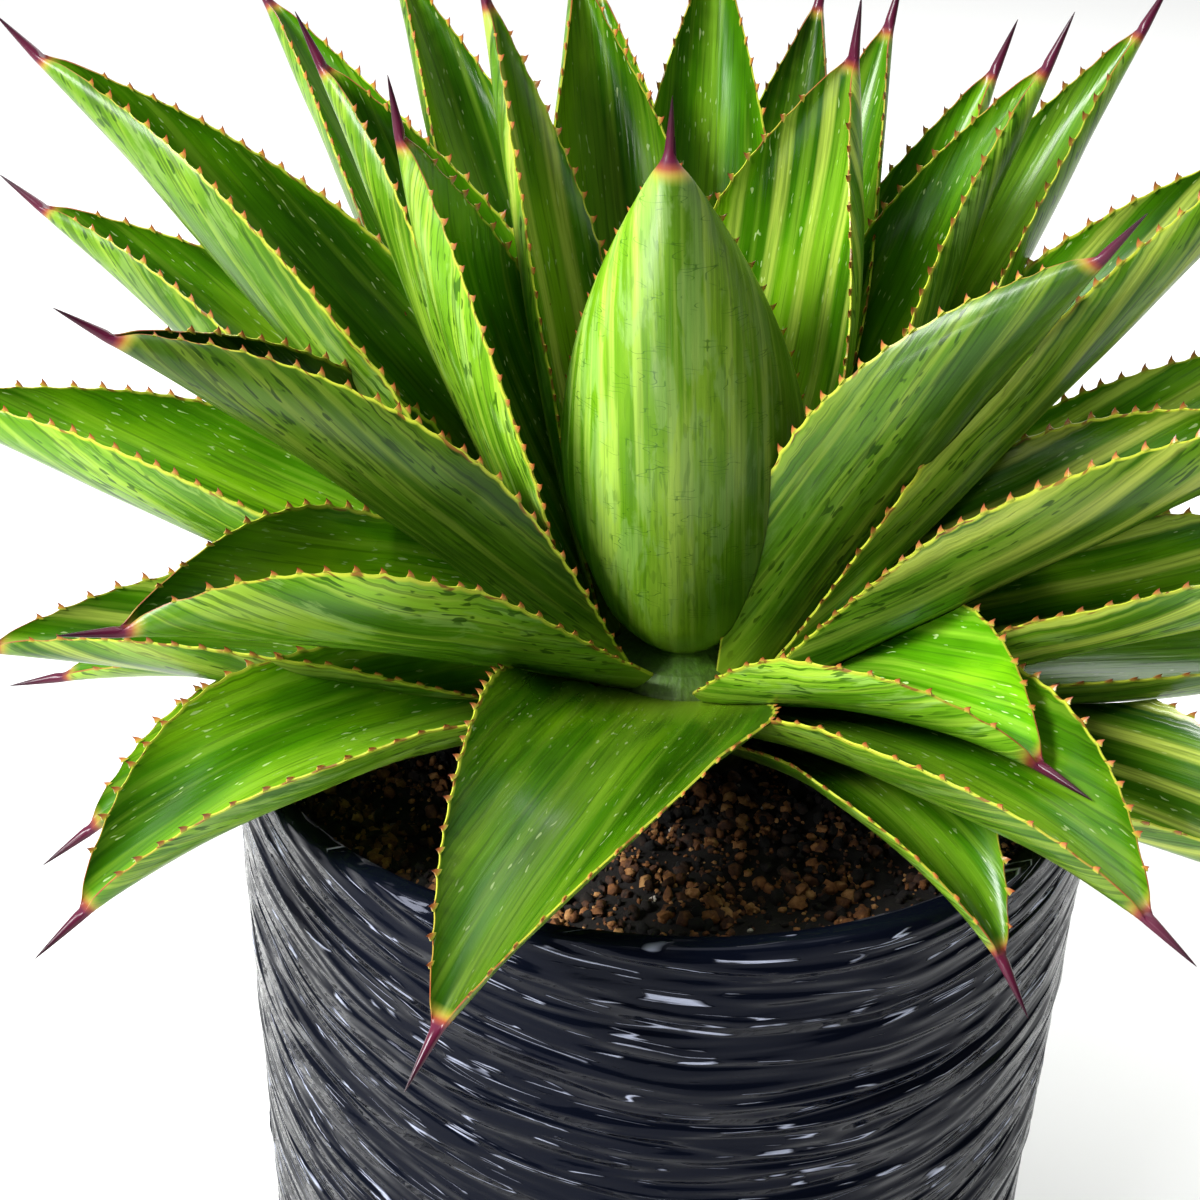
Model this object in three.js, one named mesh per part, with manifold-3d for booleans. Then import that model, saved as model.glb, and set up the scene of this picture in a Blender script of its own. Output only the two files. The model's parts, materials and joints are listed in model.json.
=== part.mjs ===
// A potted agave: a dense rosette of thick, folded, toothed leaves round a closed central bud,
// growing from a short stem in gritty soil, in a plastic pot wrapped in stretched film.
// Millimetres, +Z up. The origin is the middle of the pot's underside.
import * as THREE from "three";
import { mergeVertices } from "three/addons/utils/BufferGeometryUtils.js";
import Module from "manifold-3d";

const wasm = await Module();
wasm.setup();

// ---------------------------------------------------------------- driving dimensions
const GAP = 0.3; // between touching solids
const SIDES = 48; // round the pot

const POT = { height: 220, rimRadius: 118, footRadius: 107.5, wall: 4, floor: 5 };
const DRAIN = { count: 4, radius: 6, ring: 62 };
const FILM = { thickness: 1.2, foot: 3, tuck: 5, rows: 7, ridge: 0.9 };
const SOIL = { top: 206, mound: 2.5, clump: 1.1, rings: 4 };
const STEM = { x: 3, y: 0, z: 222, radius: 26, rise: 22, neck: -36, root: 150, sides: 20 };

// Every leaf: teeth, thickness and the dark needle at its tip.
const LEAF = {
  spine: 16,
  toothPitch: 24, // along the leaf, four times the real one
  toothHeight: 2.4,
  toothBase: 3.2,
  firstTooth: 0.1,
  lastTooth: 0.92,
  baseThickness: 3.4,
  tipThickness: 1.9,
  tipWidth: 0.05, // of the widest width
  across: [-0.85, -0.35, 0.35, 0.85], // columns of each face between the margins
  droop: 1.6, // how much of the bend comes late
  clearance: 0.35, // kept round the younger leaf that it is pressed against
};
const STATIONS = [0, 0.14, 0.31, 0.49, 0.67, 0.84, 1]; // along a leaf

// The closed bud: leaves wrapped round a core, the outermost facing the front.
const BUD = {
  z: 242,
  radius: 34,
  height: 134,
  lean: 9, // to the left at the tip
  foot: 0.5, // radius at the foot and at the tip, as parts of the widest
  tip: 0.11,
  peak: 0.42,
  spacing: 3.4, // between one leaf and the next inside it
  thickness: 2,
  coreSlack: 1.5, // more, for the core
  across: [-0.9, -0.6, -0.3, 0, 0.3, 0.6, 0.9],
  shorter: 10, // each inner one than the one round it
  leaves: [
    { name: "bud_leaf_outer", azimuth: 265, wrap: 100 },
    { name: "bud_leaf_middle", azimuth: 50, wrap: 96 },
    { name: "bud_leaf_inner", azimuth: 170, wrap: 98 },
  ],
};

// One row per leaf, youngest first: degrees for the compass direction it leaves the stem in, its
// rise at the foot and at the tip, its seat on the stem's dome, its roll and its sideways sweep;
// millimetres for its length and flat width; its fold; then its foot's width and the place of its
// widest point as parts of its width and length.
const LEAVES = [
  [182, 63, 79, 38, -10, 0, 155, 74, 56, 0.35, 0.5],
  [338, 62, 54, 36, -30, 0, 154, 68, 65, 0.35, 0.5],
  [40, 76, 86, 38, 0, 0, 162, 76, 58, 0.3, 0.6],
  [148, 74, 76, 38, 0, 0, 176, 42, 60, 0.3, 0.5],
  [116, 71, 72, 34, 0, 0, 180, 60, 55, 0.3, 0.5],
  [88, 68, 69, 24, 0, 0, 192, 56, 55, 0.3, 0.5],
  [55, 68, 68, 28, 0, 0, 174, 52, 55, 0.3, 0.5],
  [20, 67, 66, 28, 0, 0, 176, 64, 72, 0.3, 0.5],
  [154, 60, 59, 26, 0, 0, 176, 70, 72, 0.35, 0.5],
  [42, 62, 60, 20, 0, 0, 174, 54, 65, 0.3, 0.5],
  [104, 60, 58, 14, 0, 0, 190, 52, 60, 0.3, 0.5],
  [74, 58, 56, 14, 0, 0, 190, 52, 60, 0.3, 0.5],
  [130, 58, 56, 20, 0, 0, 200, 54, 60, 0.3, 0.5],
  [198, 44, 34, 34, 8, 0, 166, 76, 88, 0.4, 0.5],
  [0, 52, 49, 28, 0, 0, 202, 72, 78, 0.35, 0.5],
  [166, 47, 41, 22, 0, 0, 220, 76, 85, 0.35, 0.5],
  [24, 60, 60, 12, 0, 0, 200, 58, 64, 0.3, 0.5],
  [342, 37, 33, 28, 0, 0, 172, 74, 88, 0.35, 0.5],
  [136, 48, 44, 12, 0, 0, 216, 58, 65, 0.3, 0.5],
  [315, 25, -9, 34, 0, 0, 102, 72, 70, 0.45, 0.5],
  [208, 22, 8, 40, 3, 0, 142, 80, 85, 0.45, 0.58],
  [161, 35, 31, 13, 0, 0, 200, 72, 80, 0.35, 0.5],
  [8, 34, 28, 14, 0, 0, 188, 62, 68, 0.35, 0.5],
  [46, 34, 28, 8, 0, 0, 170, 60, 60, 0.3, 0.5],
  [98, 40, 30, 6, 0, 0, 180, 60, 60, 0.3, 0.5],
  [178, 24, 21, 9, 0, 0, 196, 78, 76, 0.35, 0.5],
  [348, 21, 20, 14, 0, 0, 178, 74, 70, 0.35, 0.5],
  [138, 29, 22, 2, 0, 0, 185, 60, 60, 0.3, 0.5],
  [215, 12, -34, 20, 0, 0, 158, 66, 62, 0.45, 0.6],
  [310, 18, -18, 20, 0, 0, 142, 74, 62, 0.45, 0.5],
  [259, 16, -40, 32, 0, -22, 146, 78, 52, 0.55, 0.3],
  [188, 10, 4, 4, 0, 0, 160, 70, 62, 0.35, 0.5],
  [354, 11, 5, 4, 0, 0, 176, 58, 55, 0.3, 0.5],
  [28, 20, 12, 0, 0, 0, 180, 60, 60, 0.3, 0.5],
  [72, 22, 8, -2, 0, 0, 175, 60, 60, 0.3, 0.5],
  [114, 18, 6, -6, 0, 0, 175, 60, 60, 0.3, 0.5],
  [333, 6, -18, 6, 0, 0, 168, 76, 52, 0.35, 0.5],
  [201, 14, -34, -2, 0, 0, 142, 52, 45, 0.3, 0.6],
  [306, 20, -45, 2, 0, 0, 112, 48, 55, 0.35, 0.5],
  [178, 8, -14, -4, 0, 0, 148, 46, 45, 0.3, 0.5],
  [50, 11, -8, -8, 0, 0, 160, 54, 55, 0.3, 0.5],
  [94, 10, -8, -10, 0, 0, 160, 54, 55, 0.3, 0.5],
  [146, 9, -6, -10, 0, 0, 160, 50, 50, 0.3, 0.5],
].map(([azimuth, rise, tip, seat, roll, sway, length, width, fold, foot, peak], index) => ({
  name: `leaf_${String(index + 1).padStart(2, "0")}`,
  azimuth, rise, tip, seat, roll, sway, length, width, fold, foot, peak,
}));

// ---------------------------------------------------------------- small helpers
const rad = THREE.MathUtils.degToRad;
const clamp01 = (x) => THREE.MathUtils.clamp(x, 0, 1);
const vec = (x, y, z) => new THREE.Vector3(x, y, z);
const ORIGIN = vec(0, 0, 0);
const combine = (origin, ...terms) =>
  terms.reduce((sum, [axis, length]) => sum.addScaledVector(axis, length), origin.clone());

function geometryOf(vertices, triangles) {
  const geometry = new THREE.BufferGeometry();
  geometry.setAttribute("position", new THREE.Float32BufferAttribute(vertices, 3));
  return geometry.setIndex(triangles);
}

function solidOf(geometry) {
  const bare = geometry.clone();
  bare.deleteAttribute("normal");
  bare.deleteAttribute("uv");
  const merged = mergeVertices(bare, 1e-4);
  return new wasm.Manifold(
    new wasm.Mesh({
      numProp: 3,
      vertProperties: merged.attributes.position.array,
      triVerts: new Uint32Array(merged.index.array),
    }),
  );
}

function geometryOfSolid(solid) {
  const mesh = solid.getMesh();
  return geometryOf(mesh.vertProperties, Array.from(mesh.triVerts));
}

const largestBody = (solid) =>
  solid.decompose().reduce((a, b) => (a.volume() > b.volume() ? a : b));

function latheZ(profile, sides) {
  const points = profile.map(([r, z]) => new THREE.Vector2(r, z));
  return new THREE.LatheGeometry(points, sides).rotateX(Math.PI / 2);
}

// Grows from foot to 1 at peak, then falls away to tip: a leaf's width and the bud's radius.
function swell(s, foot, peak, tip, power) {
  if (s < peak) return foot + (1 - foot) * Math.sin((Math.PI / 2) * (s / peak));
  return tip + (1 - tip) * (1 - ((s - peak) / (1 - peak)) ** power);
}

// ---------------------------------------------------------------- toothed blade
// surface(s, v) gives a point of the upper face, its normal and the outward direction across the
// blade, for s from foot to tip and v from -1 to 1 between the margins. Both faces share the
// sharp margins, which carry the teeth, and meet in the needle at the tip. A blade with clearance
// is that much fatter all round, reaches into the stem, and serves to cut others.
function bladeGeometry(surface, { length, across, thickness, foot, clearance = 0 }) {
  const vertices = [];
  const triangles = [];
  const addPoint = (p) => vertices.push(p.x, p.y, p.z) / 3 - 1;

  const intoStem = -0.05;
  const stations = clearance > 0 ? [intoStem, ...STATIONS] : STATIONS;
  const seated = (s, point) => (s > 0 ? point : foot(point, s < 0));
  const rows = { upper: [], lower: [] };
  for (const v of across) {
    const upper = [];
    const lower = [];
    for (const s of stations) {
      const { point, normal } = surface(Math.max(s, 0), v);
      const depth = thickness(Math.max(s, 0)) * (1 - 0.7 * v * v);
      const top = combine(point, [normal, clearance]);
      const under = combine(point, [normal, -depth - clearance]);
      upper.push({ s, i: addPoint(seated(s, top)) });
      lower.push({ s, i: addPoint(seated(s, under)) });
    }
    rows.upper.push(upper);
    rows.lower.push(lower);
  }

  const halfTooth = LEAF.toothBase / length / 2;
  const margin = (v) => {
    const at = (s, out) => {
      const { point, edge } = surface(Math.max(s, 0), v);
      return { s, i: addPoint(seated(s, combine(point, [edge, out + clearance]))) };
    };
    const row = stations.filter((s) => s <= 0).map((s) => at(s, 0));
    const teeth = Math.round(length / LEAF.toothPitch);
    for (let k = 0; k < teeth; k++) {
      const s = THREE.MathUtils.lerp(LEAF.firstTooth, LEAF.lastTooth, k / (teeth - 1));
      row.push(at(s - halfTooth, 0), at(s + 0.2 * halfTooth, LEAF.toothHeight), at(s + halfTooth, 0));
    }
    row.push(at(1, 0));
    return row;
  };
  const left = margin(-1);
  const right = margin(1);

  const stitch = (a, b, flip) => {
    for (let i = 0, j = 0; i < a.length - 1 || j < b.length - 1; ) {
      const stepA = j === b.length - 1 || (i < a.length - 1 && a[i + 1].s <= b[j + 1].s);
      const face = stepA ? [a[i].i, a[++i].i, b[j].i] : [a[i].i, b[j + 1].i, b[j++].i];
      triangles.push(...(flip ? face.reverse() : face));
    }
  };
  for (const side of ["upper", "lower"]) {
    const strips = [left, ...rows[side], right];
    strips.slice(1).forEach((row, k) => stitch(strips[k], row, side === "lower"));
  }

  const ring = (end) => [
    left.at(end).i,
    ...rows.upper.map((row) => row.at(end).i),
    right.at(end).i,
    ...rows.lower.map((row) => row.at(end).i).reverse(),
  ];
  const foundation = ring(0);
  const last = foundation.length;
  for (let k = 0; k < across.length; k++) {
    const [a, b, c, d] = [k, k + 1, last - 1 - k, (last - k) % last].map((at) => foundation[at]);
    triangles.push(a, b, c);
    if (k > 0) triangles.push(a, c, d);
  }
  triangles.push(...foundation.slice(across.length, across.length + 3));

  const end = surface(1, 0);
  const needle = addPoint(combine(end.point, [end.along, LEAF.spine + clearance]));
  ring(-1).forEach((i, k, all) => triangles.push(all[(k + 1) % all.length], i, needle));
  return geometryOf(vertices, triangles);
}

// ---------------------------------------------------------------- rosette leaves
function leafFrame(azimuth, rise, roll) {
  const level = Math.cos(rise);
  const along = vec(level * Math.cos(azimuth), level * Math.sin(azimuth), Math.sin(rise));
  const side = vec(-Math.sin(azimuth), Math.cos(azimuth), 0);
  const normal = along.clone().cross(side);
  return {
    along,
    side: combine(ORIGIN, [side, Math.cos(roll)], [normal, Math.sin(roll)]),
    normal: combine(ORIGIN, [side, -Math.sin(roll)], [normal, Math.cos(roll)]),
  };
}

function seatPoint(leaf) {
  const seat = rad(leaf.seat);
  const reach = STEM.radius * Math.cos(seat);
  const azimuth = rad(leaf.azimuth);
  return vec(
    STEM.x + reach * Math.cos(azimuth),
    STEM.y + reach * Math.sin(azimuth),
    STEM.z + STEM.rise * Math.sin(seat),
  );
}

function leafSurface(leaf) {
  const steps = 40;
  const angles = (s) => [
    rad(leaf.azimuth + leaf.sway * s),
    rad(leaf.rise + (leaf.tip - leaf.rise) * s ** LEAF.droop),
    rad(leaf.roll),
  ];
  const centre = [seatPoint(leaf)];
  for (let i = 0; i < steps; i++) {
    const { along } = leafFrame(...angles((i + 0.5) / steps));
    centre.push(combine(centre[i], [along, leaf.length / steps]));
  }
  return (s, v) => {
    const { along, side, normal } = leafFrame(...angles(s));
    const i = Math.min(Math.floor(s * steps), steps - 1);
    const middle = centre[i].clone().lerp(centre[i + 1], s * steps - i);
    const half = (leaf.width / 2) * swell(s, leaf.foot, leaf.peak, LEAF.tipWidth, 1.7);
    const opening = 0.45 + 0.55 * clamp01(s / 0.45);
    const closing = 1 + 0.55 * clamp01(2 * s - 1) ** 1.5;
    const bend = rad(leaf.fold) * opening * closing;
    const radius = half / bend;
    const turn = v * bend;
    return {
      along,
      point: combine(middle, [side, radius * Math.sin(turn)], [normal, radius * (1 - Math.cos(turn))]),
      normal: combine(ORIGIN, [side, -Math.sin(turn)], [normal, Math.cos(turn)]),
      edge: combine(ORIGIN, [side, Math.sign(v) * Math.cos(turn)], [normal, Math.sin(Math.abs(turn))]),
    };
  };
}

// Slides a foot point along the leaf onto the stem's dome, just clear of it, or down into it.
function slideOntoStem(along) {
  const scale = vec(1 / STEM.radius, 1 / STEM.radius, 1 / STEM.rise);
  const ray = along.clone().multiply(scale);
  return (point, intoStem = false) => {
    const reach = intoStem ? 0.75 : 1 + (3 * GAP) / STEM.rise;
    const from = point.clone().sub(vec(STEM.x, STEM.y, STEM.z)).multiply(scale);
    const a = ray.lengthSq();
    const b = ray.dot(from);
    const root = Math.max(b * b - a * (from.lengthSq() - reach * reach), 0);
    return combine(point, [along, (Math.sqrt(root) - b) / a]);
  };
}

function leafGeometry(leaf, clearance = 0) {
  return bladeGeometry(leafSurface(leaf), {
    length: leaf.length,
    across: LEAF.across,
    thickness: (s) => THREE.MathUtils.lerp(LEAF.baseThickness, LEAF.tipThickness, s),
    foot: slideOntoStem(leafFrame(rad(leaf.azimuth), rad(leaf.rise), 0).along),
    clearance,
  });
}

// ---------------------------------------------------------------- bud
function budSurface(place) {
  const { azimuth, wrap } = BUD.leaves[place];
  const height = BUD.height - BUD.shorter * place;
  const widest = BUD.radius - BUD.spacing * place;
  return (s, v) => {
    const radius = widest * swell(s, BUD.foot, BUD.peak, BUD.tip, 1.83) - BUD.thickness;
    const turn = rad(azimuth + v * wrap);
    const outward = vec(Math.cos(turn), Math.sin(turn), 0);
    return {
      along: vec(0, 0, 1),
      point: combine(budAxis(height * s), [outward, Math.max(radius, 0.6)]),
      normal: outward.clone().negate(),
      edge: vec(-Math.sin(turn), Math.cos(turn), 0).multiplyScalar(Math.sign(v)),
    };
  };
}

const budAxis = (rise) => vec(STEM.x - BUD.lean * (rise / BUD.height) ** 2, STEM.y, BUD.z + rise);

const budLeafGeometry = (place, clearance = 0) =>
  bladeGeometry(budSurface(place), {
    length: BUD.height,
    across: BUD.across,
    thickness: () => BUD.thickness,
    foot: slideOntoStem(vec(0, 0, 1)),
    clearance,
  });

// The unopened heart: a spindle of the same outline as the leaves round it.
function budCoreGeometry(clearance = 0) {
  const place = BUD.leaves.length;
  const height = BUD.height - BUD.shorter * place;
  const widest = BUD.radius - BUD.spacing * place - BUD.coreSlack;
  const sides = 20;
  const rows = [0, 0.15, 0.3, 0.45, 0.6, 0.75, 0.9, 1];
  const slide = slideOntoStem(vec(0, 0, 1));
  const vertices = [];
  const triangles = [];
  for (const s of rows) {
    const radius = widest * swell(s, BUD.foot, BUD.peak, BUD.tip, 1.83) + clearance;
    for (let k = 0; k < sides; k++) {
      const turn = (2 * Math.PI * k) / sides;
      const point = combine(budAxis(height * s), [vec(Math.cos(turn), Math.sin(turn), 0), radius]);
      vertices.push(...(s === 0 ? slide(point) : point).toArray());
    }
  }
  const foot = vertices.push(...slide(budAxis(0)).toArray()) / 3 - 1;
  const tip = vertices.push(...budAxis(height + widest * BUD.tip).toArray()) / 3 - 1;
  for (let k = 0; k < sides; k++) {
    const next = (k + 1) % sides;
    triangles.push(foot, next, k);
    for (let row = 0; row < rows.length - 1; row++) {
      const low = row * sides;
      const high = low + sides;
      triangles.push(low + k, low + next, high + next, low + k, high + next, high + k);
    }
    const top = (rows.length - 1) * sides;
    triangles.push(top + k, top + next, tip);
  }
  return geometryOf(vertices, triangles);
}

// ---------------------------------------------------------------- stem, soil, pot and film
function stemGeometry() {
  const dome = [];
  for (let angle = STEM.neck; angle <= 90; angle += 14) {
    dome.push([STEM.radius * Math.cos(rad(angle)), STEM.z + STEM.rise * Math.sin(rad(angle))]);
  }
  const neckRadius = dome[0][0];
  const profile = [[0, STEM.root], [neckRadius, STEM.root], ...dome.slice(0, -1), [0, STEM.z + STEM.rise]];
  return latheZ(profile, STEM.sides).translate(STEM.x, STEM.y, 0);
}

const taper = (POT.rimRadius - POT.footRadius) / POT.height;
const potRadius = (z) => POT.footRadius + taper * z;

function soilGeometry() {
  const inner = (z) => potRadius(z) - POT.wall - GAP;
  const foot = POT.floor + GAP;
  const mound = (r) => SOIL.mound * (1 - (r / inner(SOIL.top)) ** 2);
  const clump = (r, k) => SOIL.clump * Math.sin(5.3 * k + 0.9 * r);
  const hole = STEM.radius * Math.cos(rad(STEM.neck)) + GAP;
  const vertices = [];
  const triangles = [];
  const loops = [];
  const addLoop = (place) => {
    const loop = [];
    for (let k = 0; k < SIDES; k++) {
      const turn = (2 * Math.PI * k) / SIDES;
      loop.push(vertices.push(...place(Math.cos(turn), Math.sin(turn), k)) / 3 - 1);
    }
    loops.push(loop);
  };
  const bottom = vertices.push(0, 0, foot) / 3 - 1;
  addLoop((x, y) => [inner(foot) * x, inner(foot) * y, foot]);
  for (let ring = 0; ring <= SOIL.rings; ring++) {
    const share = ring / SOIL.rings;
    addLoop((x, y, k) => {
      const rim = inner(SOIL.top);
      const r = THREE.MathUtils.lerp(rim, hole, share);
      const level = ring > 0 && ring < SOIL.rings ? clump(r, k) : 0;
      return [r * x + STEM.x * share, r * y + STEM.y * share, SOIL.top + mound(r) + level];
    });
  }
  addLoop((x, y) => [hole * x + STEM.x, hole * y + STEM.y, STEM.root - GAP]);
  const floor = vertices.push(STEM.x, STEM.y, STEM.root - GAP) / 3 - 1;
  for (let k = 0; k < SIDES; k++) {
    const next = (k + 1) % SIDES;
    triangles.push(bottom, loops[0][next], loops[0][k]);
    for (let row = 0; row < loops.length - 1; row++) {
      const [low, high] = [loops[row], loops[row + 1]];
      triangles.push(low[k], low[next], high[next], low[k], high[next], high[k]);
    }
    triangles.push(loops.at(-1)[k], loops.at(-1)[next], floor);
  }
  return geometryOf(vertices, triangles);
}

function potGeometry() {
  const { height, floor, wall } = POT;
  const profile = [
    [0, 0],
    [potRadius(0) - 3, 0],
    [potRadius(3), 3],
    [potRadius(height - 1), height - 1],
    [potRadius(height) - 1, height],
    [potRadius(height) - wall + 1, height],
    [potRadius(height) - wall, height - 1],
    [potRadius(floor) - wall, floor],
    [0, floor],
  ];
  let pot = solidOf(latheZ(profile, SIDES));
  for (let k = 0; k < DRAIN.count; k++) {
    const turn = (2 * Math.PI * (k + 0.5)) / DRAIN.count;
    const drill = new THREE.CylinderGeometry(DRAIN.radius, DRAIN.radius, 4 * floor, 16)
      .rotateX(Math.PI / 2)
      .translate(DRAIN.ring * Math.cos(turn), DRAIN.ring * Math.sin(turn), 0);
    pot = pot.subtract(solidOf(drill));
  }
  return geometryOfSolid(pot);
}

// The film is wound round the pot in creases that climb slowly, and is tucked over the rim.
function filmGeometry() {
  const { height, wall } = POT;
  const inside = [
    [potRadius(height) - wall - GAP, height - FILM.tuck],
    [potRadius(height) - wall - GAP, height + GAP],
    [potRadius(height) + GAP, height + GAP],
    [potRadius(FILM.foot) + GAP, FILM.foot],
  ];
  const outside = [];
  for (let row = 0; row <= FILM.rows; row++) {
    const z = THREE.MathUtils.lerp(FILM.foot, height - 2, row / FILM.rows);
    outside.push([potRadius(z) + GAP + FILM.thickness, z]);
  }
  outside.push(
    [potRadius(height) + GAP + FILM.thickness - 0.6, height + FILM.thickness],
    [potRadius(height) - wall - GAP - FILM.thickness + 0.6, height + FILM.thickness],
    [potRadius(height) - wall - GAP - FILM.thickness, height - FILM.tuck],
  );
  const geometry = latheZ([...inside, ...outside, inside[0]], SIDES);
  const place = geometry.attributes.position;
  for (let i = 0; i < place.count; i++) {
    const [x, y, z] = [place.getX(i), place.getY(i), place.getZ(i)];
    const r = Math.hypot(x, y);
    if (z <= FILM.foot || z > height - 1 || r < potRadius(z) + GAP + FILM.thickness / 2) continue;
    const turn = Math.atan2(y, x);
    const crease = FILM.ridge * (0.5 + 0.5 * Math.sin(z * 0.19 + 2 * Math.sin(turn) + 3 * turn));
    place.setXYZ(i, x * (1 + crease / r), y * (1 + crease / r), z);
  }
  return geometry;
}

// ---------------------------------------------------------------- finish and assembly
const FINISH = {
  pot: { color: 0x14161a, roughness: 0.45, metalness: 0 },
  film: { color: 0x1b2030, roughness: 0.25, metalness: 0 },
  soil: { color: 0x2a1c14, roughness: 1, metalness: 0 },
  stem: { color: 0x8f9a5a, roughness: 0.7, metalness: 0 },
  leaf: { color: 0x4f8f24, roughness: 0.4, metalness: 0 },
  bud: { color: 0x8cb852, roughness: 0.45, metalness: 0 },
};

const agave = new THREE.Group();

function addMesh(name, geometry, finish) {
  const mesh = new THREE.Mesh(geometry, new THREE.MeshStandardMaterial(FINISH[finish]));
  mesh.name = name;
  agave.add(mesh);
}

addMesh("pot", potGeometry(), "pot");
addMesh("film_wrap", filmGeometry(), "film");
addMesh("soil", soilGeometry(), "soil");
addMesh("stem", stemGeometry(), "stem");

// The bud and the leaves grow from the middle outwards. Where one is pressed against younger ones,
// it is hollowed to fit them, as the soft leaf base is on the plant.
const younger = [];
function addFitted(name, shape, finish) {
  const whole = solidOf(shape(0));
  const pressed = younger.filter((other) => whole.intersect(other).volume() > 0);
  const fitted = pressed.reduce((body, other) => body.subtract(other), whole);
  addMesh(name, pressed.length ? geometryOfSolid(largestBody(fitted)) : shape(0), finish);
  younger.push(solidOf(shape(LEAF.clearance)).add(whole));
}

addFitted("bud_core", budCoreGeometry, "bud");
for (let place = BUD.leaves.length - 1; place >= 0; place--) {
  addFitted(BUD.leaves[place].name, (clearance) => budLeafGeometry(place, clearance), "bud");
}
for (const leaf of LEAVES) {
  addFitted(leaf.name, (clearance) => leafGeometry(leaf, clearance), "leaf");
}

export default agave;
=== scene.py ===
# A potted agave: toothed, folded leaves round a closed bud, in a pot wrapped in glossy stretched film.
# Metres, in the frame of the CAD model: +Z up, the origin under the middle of the pot.
import json
import math
import random
import bpy
import numpy as np
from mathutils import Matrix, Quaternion, Vector, noise
from mathutils.bvhtree import BVHTree

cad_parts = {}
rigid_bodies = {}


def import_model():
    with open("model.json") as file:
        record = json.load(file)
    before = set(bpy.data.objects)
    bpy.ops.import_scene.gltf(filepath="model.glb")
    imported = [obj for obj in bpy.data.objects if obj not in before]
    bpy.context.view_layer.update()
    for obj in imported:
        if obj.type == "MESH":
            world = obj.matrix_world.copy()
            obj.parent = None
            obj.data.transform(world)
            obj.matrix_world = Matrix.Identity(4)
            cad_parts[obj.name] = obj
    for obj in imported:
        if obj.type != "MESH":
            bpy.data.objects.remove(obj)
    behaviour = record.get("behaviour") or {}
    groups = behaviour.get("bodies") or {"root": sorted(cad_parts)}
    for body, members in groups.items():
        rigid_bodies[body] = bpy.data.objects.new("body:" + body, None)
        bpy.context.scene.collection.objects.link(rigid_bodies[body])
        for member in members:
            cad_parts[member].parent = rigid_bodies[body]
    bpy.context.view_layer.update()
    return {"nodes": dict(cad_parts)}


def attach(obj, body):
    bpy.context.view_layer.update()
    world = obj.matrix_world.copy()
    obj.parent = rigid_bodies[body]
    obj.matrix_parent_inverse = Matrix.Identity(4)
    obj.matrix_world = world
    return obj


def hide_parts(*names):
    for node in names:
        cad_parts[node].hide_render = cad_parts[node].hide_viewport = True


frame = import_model()
mm = 0.001
bpy.ops.object.select_all(action="DESELECT")


def srgb(code):
    # hex as picked on screen, turned to the linear values that shaders take
    parts = [int(code[i:i + 2], 16) / 255 for i in (1, 3, 5)]
    return [p / 12.92 if p <= 0.04045 else ((p + 0.055) / 1.055) ** 2.4 for p in parts] + [1.0]


def addNode(tree, kind, inputs=None, stops=None, **settings):
    # one node with its settings, its values or links, and the stops of its ramp
    node = tree.nodes.new(kind)
    for key, value in settings.items():
        setattr(node, key, value)
    for key, value in (inputs or {}).items():
        if isinstance(value, bpy.types.NodeSocket):
            tree.links.new(value, node.inputs[key])
        else:
            node.inputs[key].default_value = value
    if stops:
        ramp = node.color_ramp.elements
        while len(ramp) < len(stops):
            ramp.new(0.5)
        for element, (place, colour) in zip(ramp, stops):
            element.position = place
            element.color = srgb(colour)
    return node


def newMaterial(name):
    material = bpy.data.materials.new(name)
    material.use_nodes = True
    tree = material.node_tree
    return material, tree, tree.nodes["Principled BSDF"]


def pickOnly(piece):
    bpy.ops.object.select_all(action="DESELECT")
    piece.select_set(True)
    bpy.context.view_layer.objects.active = piece


def finishPiece(piece, material, slot, *nodes, angle=40):
    # smooth but for sharp edges, on its body, and standing for its CAD nodes
    piece.data.materials.clear()
    piece.data.materials.append(material)
    pickOnly(piece)
    bpy.ops.object.shade_smooth_by_angle(angle=math.radians(angle))
    piece.select_set(False)
    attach(piece, "root")
    if nodes:
        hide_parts(*nodes)


def meshPiece(name, points, faces):
    mesh = bpy.data.meshes.new(name)
    mesh.from_pydata([tuple(p) for p in points], [], [tuple(f) for f in faces])
    mesh.update()
    piece = bpy.data.objects.new(name, mesh)
    bpy.context.collection.objects.link(piece)
    return piece


def storePoints(mesh, name, values):
    numbers = np.asarray(values, dtype=np.float32)
    mesh.attributes.new(name, "FLOAT", "POINT").data.foreach_set("value", numbers)


def storeUv(mesh, name, pairs):
    corners = np.empty(len(mesh.loops), dtype=np.int32)
    mesh.loops.foreach_get("vertex_index", corners)
    places = np.asarray(pairs, dtype=np.float32)[corners]
    mesh.uv_layers.new(name=name).data.foreach_set("uv", places.ravel())


def mergePoints(piece):
    # points that lie on each other become one; the piece is left in edit mode
    pickOnly(piece)
    bpy.ops.object.mode_set(mode="EDIT")
    bpy.ops.mesh.select_all(action="SELECT")
    bpy.ops.mesh.remove_doubles(threshold=0.01 * mm)


def takeMesh(piece):
    # a modelled template's points and faces, for copies; the template itself goes
    points = np.array([v.co for v in piece.data.vertices])
    faces = [list(p.vertices) for p in piece.data.polygons]
    bpy.data.objects.remove(piece, do_unlink=True)
    return points, faces


def swell(s, foot, peak, tip, power):
    # a leaf's width and the bud's radius: up from foot to 1 at peak, then down to tip
    rising = foot + (1 - foot) * np.sin(np.pi / 2 * np.minimum(s / peak, 1))
    falling = tip + (1 - tip) * (1 - np.clip((s - peak) / (1 - peak), 0, 1) ** power)
    return np.where(s < peak, rising, falling)


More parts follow.
